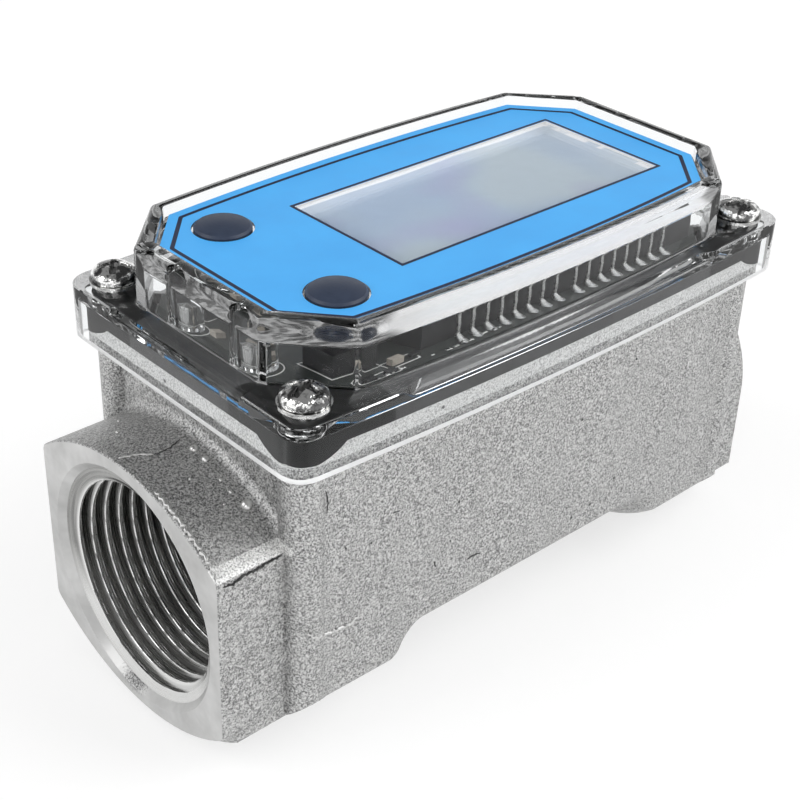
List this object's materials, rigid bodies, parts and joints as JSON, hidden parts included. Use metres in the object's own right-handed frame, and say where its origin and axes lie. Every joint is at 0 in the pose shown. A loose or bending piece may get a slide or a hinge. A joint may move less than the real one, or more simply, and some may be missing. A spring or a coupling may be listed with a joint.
{
  "type": "turbine flow meter",
  "caption": "In-line turbine flow meter: cast body with threaded ports, clear screwed cover over a blue faceplate, display window, push buttons and a bladed rotor in the bore.",
  "frame": {"origin": "on the flow axis where the inlet thread's full bore starts, 1.7 mm inside the inlet face", "axes": "+X along the flow towards the outlet, +Z out of the display, -Y the near long side"},
  "size_m": [0.107, 0.0538, 0.0645],
  "materials": {
    "cast_body": "as cast, fine grain; port faces and threads machined bright",
    "clear_plastic": "clear moulded polycarbonate",
    "black_rubber": "matt black",
    "blue_label": "sky blue satin film with dark border lines",
    "button_plastic": "dark navy, satin",
    "bright_screw": "bright nickel plate",
    "board_green": "dark solder mask",
    "lcd_glass": "grey display glass",
    "white_plastic": "white plastic",
    "tin": "tinned metal",
    "chip_black": "moulded black",
    "ceramic_tan": "fired ceramic",
    "cell_silver": "bare steel can",
    "tray_black": "moulded black",
    "spring_steel": "sprung steel",
    "copper_wire": "enamelled copper winding",
    "ferrite": "sintered, dull",
    "rotor_plastic": "off-white fluoropolymer",
    "bush_plastic": "filled bearing plastic",
    "shaft_steel": "ground stainless steel",
    "support_plastic": "moulded dark grey"
  },
  "bodies": {
    "housing": {"meter_body": "cast_body", "clear_cover": "clear_plastic", "cover_gasket": "black_rubber", "face_label": "blue_label", "cover_screws": "bright_screw", "screw_washers": "bright_screw", "display_switch": "chip_black", "calibrate_switch": "chip_black", "circuit_board": "board_green", "board_screws": "tin", "lcd_glass": "lcd_glass", "lcd_reflector": "white_plastic", "lcd_frame": "white_plastic", "lcd_pins": "tin", "lcd_solder": "tin", "processor_chip": "chip_black", "timing_crystal": "tin", "board_capacitors": "ceramic_tan", "board_resistors": "chip_black", "near_battery": "cell_silver", "far_battery": "cell_silver", "battery_holder": "tray_black", "positive_contacts": "spring_steel", "negative_contacts": "spring_steel", "battery_leads": "tin", "coil_bobbin": "white_plastic", "pickup_coil": "copper_wire", "coil_core": "ferrite", "coil_leads": "tin", "thrust_washers": "bush_plastic", "rotor_shaft": "shaft_steel", "inlet_support": "support_plastic", "outlet_support": "support_plastic", "inlet_retaining_ring": "spring_steel", "outlet_retaining_ring": "spring_steel"},
    "rotor": {"turbine_rotor": "rotor_plastic", "rotor_magnets": "tin", "rotor_bushes": "bush_plastic"},
    "display_key": {"display_button": "button_plastic", "display_switch_plunger": "tray_black"},
    "calibrate_key": {"calibrate_button": "button_plastic", "calibrate_switch_plunger": "tray_black"}
  },
  "joints": [
    {"name": "rotor_spin", "type": "hinge", "parent": "housing", "child": "rotor", "pos_m": [0.0541, 0, 0], "axis": [1, 0, 0], "continuous": true},
    {"name": "display_press", "type": "slide", "parent": "housing", "child": "display_key", "axis": [0, 0, -1], "range_m": [0, 0.0006], "stiffness_N_per_m": 500},
    {"name": "calibrate_press", "type": "slide", "parent": "housing", "child": "calibrate_key", "axis": [0, 0, -1], "range_m": [0, 0.0006], "stiffness_N_per_m": 500}
  ]
}
